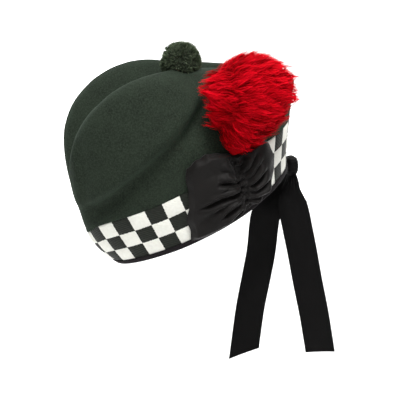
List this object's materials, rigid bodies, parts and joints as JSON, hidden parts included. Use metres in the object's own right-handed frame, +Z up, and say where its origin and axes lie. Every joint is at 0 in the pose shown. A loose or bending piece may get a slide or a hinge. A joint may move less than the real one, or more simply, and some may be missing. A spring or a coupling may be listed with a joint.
{
  "type": "glengarry bonnet",
  "caption": "Boat-shaped felt bonnet with a diced band, gathered ribbon cockade, red hackle, toorie and hanging ribbon tails.",
  "frame": {"origin": "centre of the head opening, in the plane of its bound rim", "axes": "+Z up with the hat tilted nose down as worn, -Y the wearer's front, +X the wearer's left where the cockade is"},
  "size_m": [0.1822, 0.2903, 0.3587],
  "materials": {
    "crown": "dark green felted wool",
    "diced_band": "diced wool, white and dark green",
    "rim_binding": "black woven ribbon",
    "cockade": "black silk ribbon, gathered",
    "hackle": "dyed feather barbs",
    "toorie": "cut wool yarn",
    "ribbon_knot": "black silk ribbon",
    "tail_left": "black silk ribbon",
    "tail_right": "black silk ribbon"
  },
  "bodies": {
    "root": {"crown": "crown", "diced_band": "diced_band", "rim_binding": "rim_binding", "cockade": "cockade", "hackle": "hackle", "toorie": "toorie", "ribbon_knot": "ribbon_knot", "tail_left": "tail_left", "tail_right": "tail_right"}
  },
  "joints": []
}
